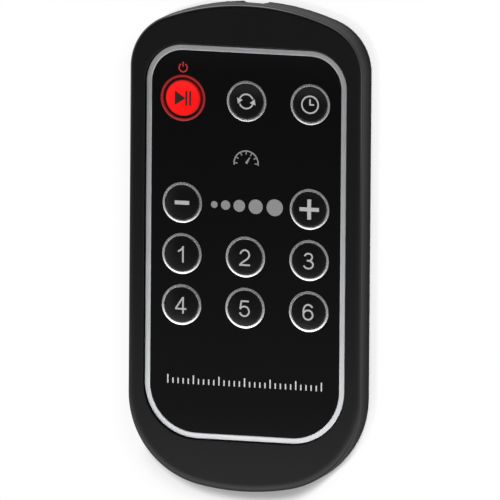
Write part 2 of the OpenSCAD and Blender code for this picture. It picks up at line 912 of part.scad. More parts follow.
rear_shell();
front_shell();
panel_frame();
control_panel();
key_rings();
start_ring();
red_key(start_place);  // start_key
black_key(mode_place);  // mode_key
black_key(time_place);  // time_key
black_key(minus_place);  // minus_key
black_key(plus_place);  // plus_key
black_key(number_place(1));  // key_1
black_key(number_place(2));  // key_2
black_key(number_place(3));  // key_3
black_key(number_place(4));  // key_4
black_key(number_place(5));  // key_5
black_key(number_place(6));  // key_6
grey_plunger(start_place);  // start_plunger
grey_plunger(mode_place);  // mode_plunger
grey_plunger(time_place);  // time_plunger
grey_plunger(minus_place);  // minus_plunger
grey_plunger(plus_place);  // plus_plunger
grey_plunger(number_place(1));  // plunger_1
grey_plunger(number_place(2));  // plunger_2
grey_plunger(number_place(3));  // plunger_3
grey_plunger(number_place(4));  // plunger_4
grey_plunger(number_place(5));  // plunger_5
grey_plunger(number_place(6));  // plunger_6
keypad_mat();
circuit_board();
control_chip();
crystal();
capacitors();
start_led();
emitter();
emitter_window();
battery(cell_1_y, 1);  // battery_1
battery(cell_2_y, -1);  // battery_2
battery_springs();
contact_plates();
battery_door();
screws();
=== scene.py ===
"""The looks of a handheld control unit for a compression therapy pump.

The unit lies on its back: +X right, +Y towards the emitter end, +Z out of the keys.
All lengths are in metres.
"""

import json
import math

import bmesh
import bpy
import numpy as np
from mathutils import Matrix, Vector

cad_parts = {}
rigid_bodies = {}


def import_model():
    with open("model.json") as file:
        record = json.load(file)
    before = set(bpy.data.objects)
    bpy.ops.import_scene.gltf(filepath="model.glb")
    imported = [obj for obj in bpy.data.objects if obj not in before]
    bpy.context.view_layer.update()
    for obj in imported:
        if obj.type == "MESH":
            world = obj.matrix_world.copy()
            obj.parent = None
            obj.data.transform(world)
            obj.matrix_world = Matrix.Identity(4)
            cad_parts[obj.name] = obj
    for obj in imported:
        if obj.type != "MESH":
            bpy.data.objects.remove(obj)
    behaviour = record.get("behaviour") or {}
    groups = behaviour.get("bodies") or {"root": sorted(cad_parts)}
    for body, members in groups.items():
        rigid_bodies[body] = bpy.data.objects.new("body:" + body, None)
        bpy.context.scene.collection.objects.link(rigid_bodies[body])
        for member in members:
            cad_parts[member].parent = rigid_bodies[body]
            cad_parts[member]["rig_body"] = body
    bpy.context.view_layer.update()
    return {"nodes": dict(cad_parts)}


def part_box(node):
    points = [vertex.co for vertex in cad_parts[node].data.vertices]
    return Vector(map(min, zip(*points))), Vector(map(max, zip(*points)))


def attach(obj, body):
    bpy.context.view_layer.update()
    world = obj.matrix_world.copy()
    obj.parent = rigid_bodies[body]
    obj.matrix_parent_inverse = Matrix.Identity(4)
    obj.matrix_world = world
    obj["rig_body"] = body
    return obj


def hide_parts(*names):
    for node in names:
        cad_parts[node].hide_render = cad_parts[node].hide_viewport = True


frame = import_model()

MM = 0.001
scene = bpy.context.scene
scene.view_settings.view_transform = "Standard"

# ---------------------------------------------------------------- sizes

# Body: its box from the frame, its wall and end arcs as in the part's source
shell_low, shell_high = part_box("front_shell")
HALF_W = shell_high.x
HALF_L = shell_high.y
TOP_Z = shell_high.z
PARTING_Z = shell_low.z
WALL = 1.6 * MM
TOP_ARC_R = 63.5 * MM
TOP_CORNER_R = 15 * MM
BOTTOM_ARC_R = 64 * MM
BOTTOM_CORNER_R = 25 * MM
# The front lip is an oval rounding split by a narrow flat facet at the emitter end; the
# rounding is wider and the facet is gone at the lower end. The facet leaves the lower part of
# the oval at FACET_AT degrees
LIP_WIDE_TOP = 1.3 * MM
LIP_WIDE_BOTTOM = 2.1 * MM
LIP_DEEP = 0.75 * MM
LIP_FACET = 0.36 * MM
FACET_TILT = math.radians(49)
FACET_AT = 27
LIP_STEPS_ABOVE = 9
LIP_STEPS_BELOW = 5
# Polished band on the facet: how far it stands out and sinks in, the share of its width that
# is left at its ends, and the two places along the body between which it widens
BAND_RISE = 0.01 * MM
BAND_SINK = 0.05 * MM
BAND_END = 0.04
BAND_Y = (2 * MM, 40 * MM)
# Groove at the parting line, shelf under the panel, and the edge loops beside roundings
SEAM = 0.2 * MM
SHELF_T = 1 * MM
SUPPORT = 0.12 * MM
# Scoop at the emitter end
SCOOP_R = 8 * MM
SCOOP_DEPTH = 1.25 * MM
SCOOP_Z = 10.4 * MM

# Silver frame and panel: their boxes from the frame, the frame's band and edges
frame_low, frame_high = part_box("panel_frame")
FRAME_HALF_W = frame_high.x
FRAME_TOP_Y = frame_high.y
FRAME_LOW_Y = frame_low.y
FRAME_TOP_Z = frame_high.z
SHELF_Z = frame_low.z
PANEL_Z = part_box("control_panel")[1].z
FRAME_TOP_R = 10.4 * MM
FRAME_BOTTOM_R = 15 * MM
FRAME_BAND = 1.5 * MM
FRAME_OUTER_R = 0.16 * MM
FRAME_INNER_R = 0.1 * MM
RECESS_GAP = 0.27 * MM
RECESS_EDGE_R = 0.12 * MM
RECESS_EDGE_STEPS = 6

# Points along each run of an outline
SIDE_STEPS = 16
CORNER_STEPS = 28
END_STEPS = 40

# Key rings: outer radius and band; the top slopes from RING_RISE down to RING_LOW over the
# panel, its outer edge is rounded up to RING_EDGE_AT degrees, and its inner edge from there
RING_R = 5.54 * MM
RING_BAND = 0.62 * MM
START_RING_R = 6.3 * MM
START_RING_BAND = 0.6 * MM
RING_RISE = 0.15 * MM
RING_LOW = 0.11 * MM
RING_EDGE_R = 0.05 * MM
RING_EDGE_AT = 75
# Key caps: flange under the panel, height of the crown and its rounded edge
KEY_FLANGE = 0.75 * MM
KEY_FLANGE_T = 0.8 * MM
KEY_CROWN = 0.25 * MM
KEY_EDGE_R = 0.14 * MM
KEY_EDGE_AT = 80
KEY_GAP = 0.15 * MM
CROWN_STEPS = 12
ROUND_STEPS = 96
KEY_NODES = ["start_key", "mode_key", "time_key", "minus_key", "plus_key"]
KEY_NODES += [f"key_{n}" for n in range(1, 7)]

# Printed marks: how far the ink stands over its surface and reaches into it
INK_RISE = 0.02 * MM
INK_SINK = 0.05 * MM
INK_STEP = 0.003 * MM
INK_ACROSS = 9

# Points nearer than this are one point, on new meshes and on copies of CAD meshes
MERGE = 1e-7
MERGE_CAD = 1e-6


# ---------------------------------------------------------------- mesh making

def grid_faces(rows, columns, close_rows, close_columns, start):
    """Quads between neighbours of a grid of points, as an array of four indices each."""
    u = np.arange(rows if close_rows else rows - 1)[:, None]
    v = np.arange(columns if close_columns else columns - 1)[None, :]
    u_next = (u + 1) % rows
    v_next = (v + 1) % columns
    corners = (
        u * columns + v, u_next * columns + v,
        u_next * columns + v_next, u * columns + v_next,
    )
    return start + np.stack(np.broadcast_arrays(*corners), -1).reshape(-1, 4)


def mesh_from_grids(name, grids, caps=False):
    """One mesh from grids of points, each (points, close_rows, close_columns).

    With caps, the first and last column of each grid is filled with one flat face.
    Doubles are merged, which closes poles, and faces are turned outwards.
    """
    points, faces, start = [], [], 0
    for grid, close_rows, close_columns in grids:
        rows, columns = grid.shape[:2]
        faces += grid_faces(rows, columns, close_rows, close_columns, start).tolist()
        if caps:
            ring = start + np.arange(rows) * columns
            faces += [ring.tolist(), (ring + columns - 1).tolist()]
        points.append(grid.reshape(-1, 3))
        start += rows * columns
    mesh = bpy.data.meshes.new(name)
    mesh.from_pydata(np.concatenate(points).tolist(), [], faces)
    tidy_mesh(mesh)
    return mesh


def tidy_mesh(mesh, distance=MERGE):
    """Merges doubles and turns the faces outwards."""
    work = bmesh.new()
    work.from_mesh(mesh)
    bmesh.ops.remove_doubles(work, verts=work.verts, dist=distance)
    bmesh.ops.recalc_face_normals(work, faces=work.faces)
    work.to_mesh(mesh)
    work.free()


def shade(mesh, sharp_degrees):
    """Smooth shading with edges above an angle left sharp."""
    mesh.polygons.foreach_set("use_smooth", np.ones(len(mesh.polygons), bool))
    mesh.set_sharp_from_angle(angle=math.radians(sharp_degrees))


def add_piece(name, mesh, material, body, stands_for=(), sharp_degrees=35):
    """Puts a mesh in the scene as a piece that rides on a body."""
    shade(mesh, sharp_degrees)
    mesh.materials.clear()
    mesh.materials.append(material)
    piece = bpy.data.objects.new(name, mesh)
    scene.collection.objects.link(piece)
    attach(piece, body)
    if stands_for:
        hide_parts(*stands_for)
    return piece


def carve(piece, cutter_mesh):
    """Cuts a closed mesh out of a piece and keeps the result as the piece's own mesh."""
    cutter = bpy.data.objects.new("cutter", cutter_mesh)
    scene.collection.objects.link(cutter)
    cut = piece.modifiers.new("cut", "BOOLEAN")
    cut.operation = "DIFFERENCE"
    cut.solver = "EXACT"
    cut.object = cutter
    bpy.context.view_layer.update()
    evaluated = piece.evaluated_get(bpy.context.evaluated_depsgraph_get())
    done = bpy.data.meshes.new_from_object(evaluated)
    piece.modifiers.clear()
    piece.data = done
    bpy.data.objects.remove(cutter)


def weight_normals(piece):
    """Shading normals weighted by face area, so that large flats stay flat beside roundings."""
    weighted = piece.modifiers.new("weighted", "WEIGHTED_NORMAL")
    weighted.mode = "FACE_AREA"
    weighted.keep_sharp = True


def smoothed_copy(node, name, material, sharp_degrees=28):
    """A merged copy of a CAD node with smooth shading, which stands for the node."""
    source = frame["nodes"][node]
    mesh = source.data.copy()
    mesh.name = name
    tidy_mesh(mesh, MERGE_CAD)
    body = source["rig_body"]
    piece = add_piece(name, mesh, material, body, (node,), sharp_degrees)
    weight_normals(piece)
    return piece


# ---------------------------------------------------------------- outlines

def key_place(node):
    """Middle of a key and the radius of its stem."""
    low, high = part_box(node)
    return ((low.x + high.x) / 2, (low.y + high.y) / 2), (high.x - low.x) / 2 - KEY_FLANGE


def arc_run(centre, radius, start, stop, steps):
    """Points on an arc and the outward normals there, without the last point."""
    angle = np.linspace(start, stop, steps, endpoint=False)
    normal = np.stack([np.cos(angle), np.sin(angle)], -1)
    return np.array(centre) + radius * normal, normal


def straight_run(start, stop, normal, steps):
    """Points on a straight line and its outward normal, without the last point."""
    share = np.linspace(0, 1, steps, endpoint=False)[:, None]
    points = np.array(start) * (1 - share) + np.array(stop) * share
    return points, np.broadcast_to(np.array(normal, float), points.shape)


def joined_runs(runs):
    """The points and normals of several runs, one after another."""
    return np.concatenate([r[0] for r in runs]), np.concatenate([r[1] for r in runs])


def end_centre(arc_r, corner_r):
    """Height of a corner's centre and the angle where it meets the end arc."""
    reach, across = arc_r - corner_r, HALF_W - corner_r
    return HALF_L - arc_r + math.sqrt(reach ** 2 - across ** 2), math.acos(across / reach)


def body_outline():
    """Outline of the body: straight sides, corner arcs and a shallow arc across each end."""
    top_y, top_a = end_centre(TOP_ARC_R, TOP_CORNER_R)
    low_y, low_a = end_centre(BOTTOM_ARC_R, BOTTOM_CORNER_R)
    top_x, low_x = HALF_W - TOP_CORNER_R, HALF_W - BOTTOM_CORNER_R
    half = math.pi
    top_c, low_c = (0, HALF_L - TOP_ARC_R), (0, BOTTOM_ARC_R - HALF_L)
    return joined_runs([
        straight_run((HALF_W, -low_y), (HALF_W, top_y), (1, 0), SIDE_STEPS),
        arc_run((top_x, top_y), TOP_CORNER_R, 0, top_a, CORNER_STEPS),
        arc_run(top_c, TOP_ARC_R, top_a, half - top_a, END_STEPS),
        arc_run((-top_x, top_y), TOP_CORNER_R, half - top_a, half, CORNER_STEPS),
        straight_run((-HALF_W, top_y), (-HALF_W, -low_y), (-1, 0), SIDE_STEPS),
        arc_run((-low_x, -low_y), BOTTOM_CORNER_R, half, half + low_a, CORNER_STEPS),
        arc_run(low_c, BOTTOM_ARC_R, half + low_a, 2 * half - low_a, END_STEPS),
        arc_run((low_x, -low_y), BOTTOM_CORNER_R, 2 * half - low_a, 2 * half, CORNER_STEPS),
    ])


def frame_outline():
    """Outline of the silver frame: a rectangle with two corner radii, in the same runs."""
    w, top, low = FRAME_HALF_W, FRAME_TOP_Y, FRAME_LOW_Y
    rt, rb = FRAME_TOP_R, FRAME_BOTTOM_R
    quarter = math.pi / 2
    return joined_runs([
        straight_run((w, low + rb), (w, top - rt), (1, 0), SIDE_STEPS),
        arc_run((w - rt, top - rt), rt, 0, quarter, CORNER_STEPS),
        straight_run((w - rt, top), (rt - w, top), (0, 1), END_STEPS),
        arc_run((rt - w, top - rt), rt, quarter, 2 * quarter, CORNER_STEPS),
        straight_run((-w, top - rt), (-w, low + rb), (-1, 0), SIDE_STEPS),
        arc_run((rb - w, low + rb), rb, 2 * quarter, 3 * quarter, CORNER_STEPS),
        straight_run((rb - w, low), (w - rb, low), (0, -1), END_STEPS),
        arc_run((w - rb, low + rb), rb, 3 * quarter, 4 * quarter, CORNER_STEPS),
    ])


def ring_along(outline, inset, z):
    """The outline drawn in by an inset along its normals, at a height; both may vary along it."""
    points, normals = outline
    inset, z = np.broadcast_to(inset, len(points)), np.broadcast_to(z, len(points))
    return np.column_stack([points - normals * inset[:, None], z])


def revolved(profile, centre, steps=ROUND_STEPS):
    """A profile of (radius, height) turned about the vertical line through a centre."""
    angle = np.linspace(0, 2 * math.pi, steps, endpoint=False)[:, None]
    radius, z = profile[:, 0][None, :], profile[:, 1][None, :]
    x = centre[0] + radius * np.cos(angle)
    y = centre[1] + radius * np.sin(angle)
    return np.stack(np.broadcast_arrays(x, y, z), -1), True, False


def quarter_round(centre_r, centre_z, radius, start, stop, steps=6):
    """Points of a rounding in a profile, from one angle in degrees to another."""
    angle = np.radians(np.linspace(start, stop, steps))
    return np.column_stack([centre_r + radius * np.cos(angle), centre_z + radius * np.sin(angle)])


# ---------------------------------------------------------------- materials

# Painted shade: colour at the rim of the lit cap, where the lamp hardly reaches
SHADED_RIM_RED = "#6a0808"
# Detail of the broad and of the fine noise, and the values that count as a noise's two ends
BROAD_DETAIL = 3
FINE_DETAIL = 4
FINE_ROUGHNESS = 0.6
NOISE_LOW = 0.3
NOISE_HIGH = 0.7


def linear(hex_colour):
    """An sRGB hex colour as a linear RGBA tuple, by the sRGB standard's curve."""
    parts = np.array([int(hex_colour[i:i + 2], 16) for i in (1, 3, 5)]) / 255
    low, high = parts / 12.92, ((parts + 0.055) / 1.055) ** 2.4
    return tuple(np.where(parts <= 0.04045, low, high)) + (1.0,)


def add_node(tree, kind, settings=(), inputs=()):
    """Adds a shader node, sets its properties, and sets or links its inputs."""
    node = tree.nodes.new(kind)
    for key, value in dict(settings).items():
        setattr(node, key, value)
    for key, value in dict(inputs).items():
        if isinstance(value, bpy.types.NodeSocket):
            tree.links.new(value, node.inputs[key])
        else:
            node.inputs[key].default_value = value
    return node


def new_material(name):
    """An empty node material."""
    material = bpy.data.materials.new(name)
    material.use_nodes = True
    material.node_tree.nodes.clear()
    return material, material.node_tree


def per_mm(size_mm):
    """Scale of a noise whose features are this many millimetres across."""
    return 1 / (size_mm * MM)


def speckled(
    name, colour, colour_2, roughness, roughness_2, grain_mm, blotch_mm=8, bump=0.0,
    stretch=(1, 1, 1), metallic=0.0, ior=1.5, extra=(), glow=None,
):
    """A moulded, printed or plated surface.

    A broad noise moves between two close colours, a fine noise of the grain's size moves
    between two roughnesses and raises the grain. A glow is (colour, strength, middle, inner
    radius, outer radius): a painted glow that stands in for a lamp behind the surface. It and
    the colour fade between the radii round an upright line, the colour into a painted shade at the
    rim.
    """
    material, tree = new_material(name)
    place = add_node(tree, "ShaderNodeTexCoord")
    stretched = add_node(tree, "ShaderNodeMapping", (), {
        "Vector": place.outputs["Object"], "Scale": stretch,
    })
    broad = add_node(tree, "ShaderNodeTexNoise", (), {
        "Vector": place.outputs["Object"], "Scale": per_mm(blotch_mm), "Detail": BROAD_DETAIL,
    })
    fine = add_node(tree, "ShaderNodeTexNoise", (), {
        "Vector": stretched.outputs[0], "Scale": per_mm(grain_mm),
        "Detail": FINE_DETAIL, "Roughness": FINE_ROUGHNESS,
    })
    tint = add_node(tree, "ShaderNodeMix", {"data_type": "RGBA"}, {
        "Factor": broad.outputs[0], "A": linear(colour), "B": linear(colour_2),
    })
    rough = add_node(tree, "ShaderNodeMapRange", (), {
        "Value": fine.outputs[0], "From Min": NOISE_LOW, "From Max": NOISE_HIGH,
        "To Min": roughness, "To Max": roughness_2,
    })
    inputs = {
        "Base Color": tint.outputs["Result"], "Roughness": rough.outputs[0],
        "Metallic": metallic, "IOR": ior,
    }
    if bump:
        raised = add_node(tree, "ShaderNodeBump", (), {
            "Height": fine.outputs[0], "Strength": 1.0, "Distance": bump * MM,
        })
        inputs["Normal"] = raised.outputs[0]
    # Painted glow and painted shade: the emission fades out from the middle and the colour darkens
    # to the rim colour
    if glow:
        glow_colour, strength, (x, y), inner, outer = glow
        centred = add_node(tree, "ShaderNodeMapping", (), {
            "Vector": place.outputs["Object"], "Location": (-x, -y, 0), "Scale": (1, 1, 0)})
        reach = add_node(tree, "ShaderNodeVectorMath", {"operation": "LENGTH"}, {
            0: centred.outputs[0]})
        fade = add_node(tree, "ShaderNodeMapRange", {"interpolation_type": "SMOOTHSTEP"}, {
            "Value": reach.outputs["Value"], "From Min": inner, "From Max": outer,
            "To Min": 1, "To Max": 0})
        level = add_node(tree, "ShaderNodeMath", {"operation": "MULTIPLY"}, {
            0: fade.outputs[0], 1: strength})
        rim = add_node(tree, "ShaderNodeMix", {"data_type": "RGBA"}, {
            "Factor": fade.outputs[0], "A": linear(SHADED_RIM_RED), "B": tint.outputs["Result"]})
        inputs.update({
            "Base Color": rim.outputs["Result"], "Emission Color": linear(glow_colour),
            "Emission Strength": level.outputs[0]})
    inputs.update(dict(extra))
    surface = add_node(tree, "ShaderNodeBsdfPrincipled", (), inputs)
    add_node(tree, "ShaderNodeOutputMaterial", (), {"Surface": surface.outputs[0]})
    return material


# Moulded ABS with a satin spark texture: near black, a soft broad sheen, a very fine grain
satin_abs = speckled(
    "satin_moulded_abs", "#0b0b0c", "#0e0e0f", 0.3, 0.4, 0.35, 12, 0.003,
    extra={"Specular IOR Level": 0.2})
# The same ABS where the mould is polished, along the facet of the lip
polished_abs = speckled(
    "polished_moulded_abs", "#0b0b0c", "#0e0e0f", 0.11, 0.16, 0.5, 12,
    extra={"Specular IOR Level": 1.0})
# Satin silver plating over moulded trim: a bright metal with a faint drawn grain
silver_plating = speckled(
    "satin_silver_plating", "#dcdddf", "#d2d3d6", 0.37, 0.43, 0.25, 10,
    stretch=(1, 0.15, 1), metallic=1.0)
# Silver plating of the key rings, a little finer than the frame
ring_plating = speckled(
    "silver_ring_plating", "#dcdddf", "#d2d3d6", 0.24, 0.3, 0.2, 6, metallic=1.0)
# Hard-coated acrylic sheet: nearly black and as smooth as glass
gloss_acrylic = speckled("gloss_black_acrylic", "#060607", "#080809", 0.06, 0.1, 0.8, 20, ior=1.49)
# Polished moulded key cap: black, slightly softer than the panel
gloss_cap = speckled("gloss_black_key_cap", "#080809", "#0b0b0c", 0.12, 0.2, 0.4, 6)
# Translucent red cap: a painted glow stands in for the lamp below it, bright red with a painted
# shade towards its rim
red_cap_painted_glow = speckled(
    "red_acrylic_cap_painted_glow", "#bc0808", "#c40a0a", 0.15, 0.22, 0.4, 5, ior=1.49,
    glow=("#ff0c0c", 0.5, key_place("start_key")[0], 4.2 * MM, 5.2 * MM))
# Translucent red ring: a dim painted glow stands in for the lamp's light leaking into it
red_ring_painted_glow = speckled(
    "red_acrylic_ring_painted_glow", "#7a1212", "#861616", 0.25, 0.35, 0.3, 5, ior=1.49,
    extra={"Emission Color": linear("#8c1818"), "Emission Strength": 0.3})
# Screen-printed grey ink: matt with a slight speckle from the mesh
grey_ink = speckled("screen_printed_grey_ink", "#9a9a9a", "#b4b4b4", 0.45, 0.6, 0.25, 0.35)
# Screen-printed darker grey ink of the level marks on the panel
level_ink = speckled("screen_printed_level_ink", "#747474", "#8a8a8a", 0.45, 0.6, 0.25, 0.35)
# Screen-printed pale ink of the scale
pale_ink = speckled("screen_printed_pale_ink", "#c0c0c0", "#d4d4d4", 0.45, 0.6, 0.25, 0.35)
# Screen-printed dark ink on the red cap
dark_ink = speckled("screen_printed_dark_ink", "#140303", "#1a0404", 0.4, 0.5, 0.25, 2)
# Screen-printed red ink beside the lit key, with a faint painted glow
red_ink_painted_glow = speckled(
    "screen_printed_red_ink_painted_glow", "#9c1a1a", "#ac2020", 0.45, 0.6, 0.25, 0.5,
    extra={"Emission Color": linear("#a01818"), "Emission Strength": 0.1})
# Moulded silicone rubber: mid grey, matt, faintly dusty
silicone = speckled("moulded_silicone", "#68686c", "#737378", 0.6, 0.75, 0.5, 3, 0.004)
# Solder mask over glass fibre: green, glossy, with a faint woven mottle
solder_mask = speckled("solder_mask_green", "#0f4a20", "#165a2a", 0.25, 0.4, 0.6, 1.6, 0.01)
# Moulded epoxy of the chip: charcoal, matt
chip_epoxy = speckled("moulded_chip_epoxy", "#232325", "#2b2b2d", 0.5, 0.65, 0.2, 1.5, 0.004)
# Drawn steel can: bright with drawing lines along the height
drawn_steel = speckled(
    "drawn_steel_can", "#b9babc", "#a9aaad", 0.22, 0.34, 0.2, 2, 0.002,
    stretch=(1, 1, 0.1), metallic=1.0)
# Shrink sleeve of a capacitor: dark blue, semi-gloss
shrink_sleeve = speckled("blue_shrink_sleeve", "#1b2338", "#232c45", 0.3, 0.4, 0.4, 2)
# Clear lamp resin with a red cast
lamp_resin = speckled("lamp_resin", "#e8c4c4", "#f0d0d0", 0.1, 0.2, 0.3, 1)
# Tinted clear epoxy of the infrared emitter: dark violet and smooth
emitter_epoxy = speckled("violet_emitter_epoxy", "#2d2140", "#37294d", 0.08, 0.14, 0.3, 1)
# Dark red acrylic that passes infrared: looks almost black, very smooth
window_acrylic = speckled(
    "infrared_window_acrylic", "#24060c", "#2b0910", 0.06, 0.12, 0.5, 2, ior=1.49)
# Plain printed foil round a battery: blue grey metal, glossy
foil_jacket = speckled(
    "foil_battery_jacket", "#3d6478", "#466e83", 0.28, 0.38, 0.3, 4,
    stretch=(0.1, 1, 1), metallic=0.6)
# Nickel plated spring steel of the contacts
nickel = speckled(
    "nickel_plated_steel", "#c2c0b9", "#b3b1aa", 0.2, 0.32, 0.2, 2, 0.001,
    stretch=(1, 1, 0.2), metallic=1.0)
# Zinc plated steel of the screws: greyer and a little cloudy
zinc = speckled(
    "zinc_plated_steel", "#a9aab0", "#989aa2", 0.3, 0.45, 0.2, 1, 0.002, metallic=1.0)

# Finish of each CAD node that is shown as it is
CAD_FINISHES = {
    "control_panel": gloss_acrylic, "keypad_mat": silicone, "circuit_board": solder_mask,
    "control_chip": chip_epoxy, "crystal": drawn_steel, "capacitors": shrink_sleeve,
    "start_led": lamp_resin, "emitter": emitter_epoxy, "emitter_window": window_acrylic,
    "battery_1": foil_jacket, "battery_2": foil_jacket, "battery_springs": nickel,
    "contact_plates": nickel, "screws": zinc,
}
CAD_FINISHES.update({node: silicone for node in frame["nodes"] if "plunger" in node})
for node, finish in CAD_FINISHES.items():
    materials = frame["nodes"][node].data.materials
    materials.clear()
    materials.append(finish)


# ---------------------------------------------------------------- shells

def smooth_share(value, start, stop):
    """0 at the start, 1 at the stop, and a smooth step between them."""
    share = np.clip((value - start) / (stop - start), 0, 1)
    return share * share * (3 - 2 * share)


def lip_sizes(y):
    """Width and depth of the lip's oval and of its facet, changing smoothly along the body."""
    share = smooth_share(y, HALF_L, -HALF_L)
    facet = LIP_FACET * (1 - share)
    facet_in, facet_up = facet * math.sin(FACET_TILT), facet * math.cos(FACET_TILT)
    wide = LIP_WIDE_TOP + (LIP_WIDE_BOTTOM - LIP_WIDE_TOP) * share - facet_in
    return wide, LIP_DEEP - facet_up, facet_in, facet_up


def lip_rings(body):
    """Rings from the flat front over the lip to the wall.

    Each half of the lip is part of an oval; a narrow flat facet lies between the halves. From
    the emitter end to the lower end the oval widens and the facet fades, both smoothly.
    """
    wide, deep, facet_in, _ = lip_sizes(body[0][:, 1])
    rings = [ring_along(body, wide + facet_in + SUPPORT, TOP_Z)]
    for angle in np.radians(np.linspace(90, FACET_AT, LIP_STEPS_ABOVE)):
        rings.append(ring_along(
            body, facet_in + wide * (1 - math.cos(angle)), TOP_Z - deep * (1 - math.sin(angle))))
    for angle in np.radians(np.linspace(FACET_AT, 0, LIP_STEPS_BELOW)):
        rings.append(ring_along(
            body, wide * (1 - math.cos(angle)), TOP_Z - LIP_DEEP + deep * math.sin(angle)))
    return rings


def front_shell_mesh():
    """Rings stacked from the shelf out over the lip, down the wall and up inside.

    Every ring is the body outline or the recess outline drawn in by an inset, at a height,
    and the first and last rings are filled by the two faces of the shelf.
    """
    body, recess = body_outline(), frame_outline()
    rings = [
        ring_along(recess, -RECESS_GAP, SHELF_Z),
        ring_along(recess, -RECESS_GAP, TOP_Z - RECESS_EDGE_R - SUPPORT),
    ]
    for angle in np.radians(np.linspace(0, 90, RECESS_EDGE_STEPS)):
        rings.append(ring_along(
            recess, -RECESS_GAP - RECESS_EDGE_R * (1 - math.cos(angle)),
            TOP_Z - RECESS_EDGE_R * (1 - math.sin(angle))))
    rings.append(ring_along(recess, -RECESS_GAP - RECESS_EDGE_R - SUPPORT, TOP_Z))
    rings += lip_rings(body)
    rings += [
        ring_along(body, 0, TOP_Z - LIP_DEEP - SUPPORT),
        ring_along(body, 0, PARTING_Z + SEAM),
        ring_along(body, SEAM, PARTING_Z),
        ring_along(body, WALL, PARTING_Z),
        ring_along(body, WALL, SHELF_Z - SHELF_T),
    ]
    return mesh_from_grids("front_shell_skin", [(np.stack(rings, 1), True, False)], caps=True)


def polished_lip_mesh():
    """A thin band on the facet of the lip, from one long side over the emitter end to the other.

    Its four-sided section lies along the facet, a little above it and a little below it, and
    narrows smoothly towards both ends of the band.
    """
    points, normals = body_outline()
    first = SIDE_STEPS // 2
    last = 2 * SIDE_STEPS + 2 * CORNER_STEPS + END_STEPS - first
    path = points[first:last], normals[first:last]
    wide, deep, facet_in, facet_up = lip_sizes(path[0][:, 1])
    taper = BAND_END + (1 - BAND_END) * smooth_share(path[0][:, 1], *BAND_Y)
    at = math.radians(FACET_AT)
    low_in, low_z = wide * (1 - math.cos(at)), TOP_Z - LIP_DEEP + deep * math.sin(at)
    out_in, out_up = -math.cos(FACET_TILT), math.sin(FACET_TILT)
    corners = []
    for along, out in ((0, BAND_RISE), (1, BAND_RISE), (1, -BAND_SINK), (0, -BAND_SINK)):
        inset = low_in + along * taper * facet_in + out * out_in
        corners.append(ring_along(path, inset, low_z + along * taper * facet_up + out * out_up))
    return mesh_from_grids("polished_lip", [(np.stack(corners, 0), True, False)], caps=True)


def pin(centre, radius, low, high, steps=ROUND_STEPS):
    """A closed upright pin, as a profile turned about its middle."""
    profile = np.array([(0, low), (radius, low), (radius, high), (0, high)])
    return revolved(profile, centre, steps)


front = add_piece(
    "front_shell_skin", front_shell_mesh(), satin_abs, "handset", ("front_shell",))
cutters = [pin((0, HALF_L - SCOOP_DEPTH + SCOOP_R), SCOOP_R, PARTING_Z - WALL, SCOOP_Z)]
for node in KEY_NODES:
    middle, stem_r = key_place(node)
    cutters.append(pin(middle, stem_r + KEY_GAP, SHELF_Z - 2 * SHELF_T, SHELF_Z + SHELF_T))
carve(front, mesh_from_grids("key_holes", cutters))
weight_normals(front)
add_piece("polished_lip", polished_lip_mesh(), polished_abs, "handset")

smoothed_copy("rear_shell", "rear_shell_skin", satin_abs)
smoothed_copy("battery_door", "battery_door_skin", satin_abs)


# ---------------------------------------------------------------- frame and rings

def frame_mesh():
    """A band along the frame outline: a flat top between two rounded edges."""
    outline = frame_outline()
    top, outer, inner = FRAME_TOP_Z, FRAME_OUTER_R, FRAME_INNER_R
    section = np.concatenate([
        [(0, SHELF_Z), (0, top - outer - SUPPORT)],
        quarter_round(outer, top - outer, outer, 180, 90),
        [(outer + SUPPORT, top), (FRAME_BAND - inner - SUPPORT, top)],
        quarter_round(FRAME_BAND - inner, top - inner, inner, 90, 0),
        [(FRAME_BAND, top - inner - SUPPORT), (FRAME_BAND, SHELF_Z)],
    ])
    rings = [ring_along(outline, inset, z) for inset, z in section]
    return mesh_from_grids("silver_frame", [(np.stack(rings, 1), True, True)])


add_piece("silver_frame", frame_mesh(), silver_plating, "handset", ("panel_frame",))


def ring_section(outer_r, band):
    """Section of a key ring, as (radius, height): the top slopes down outwards, edges rounded."""
    low, high, soft = PANEL_Z + RING_LOW, PANEL_Z + RING_RISE, RING_EDGE_R
    return np.concatenate([
        [(outer_r, SHELF_Z)],
        quarter_round(outer_r - soft, low - soft, soft, 0, RING_EDGE_AT, 5),
        quarter_round(outer_r - band + soft, high - soft, soft, RING_EDGE_AT, 180, 6),
        [(outer_r - band, SHELF_Z)],
    ])


def closed_ring(middle, outer_r, band):
    """A key ring as a closed grid."""
    grid, _, _ = revolved(ring_section(outer_r, band), middle)
    return grid, True, True


ring_grids = [closed_ring(key_place(node)[0], RING_R, RING_BAND) for node in KEY_NODES[1:]]
weight_normals(add_piece(
    "silver_key_rings", mesh_from_grids("silver_key_rings", ring_grids), ring_plating,
    "handset", ("key_rings",)))
start_grid = closed_ring(key_place("start_key")[0], START_RING_R, START_RING_BAND)
add_piece("lit_start_ring", mesh_from_grids("lit_start_ring", [start_grid]), red_ring_painted_glow,
          "handset", ("start_ring",))


# ---------------------------------------------------------------- keys

def crown_height(node):
    """The height of a key's crown as a function of x and y: a shallow spherical cap."""
    (cx, cy), radius = key_place(node)
    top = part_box(node)[1].z
    sphere = (radius ** 2 + KEY_CROWN ** 2) / (2 * KEY_CROWN)
    return lambda x, y: top - sphere + np.sqrt(sphere ** 2 - (x - cx) ** 2 - (y - cy) ** 2)


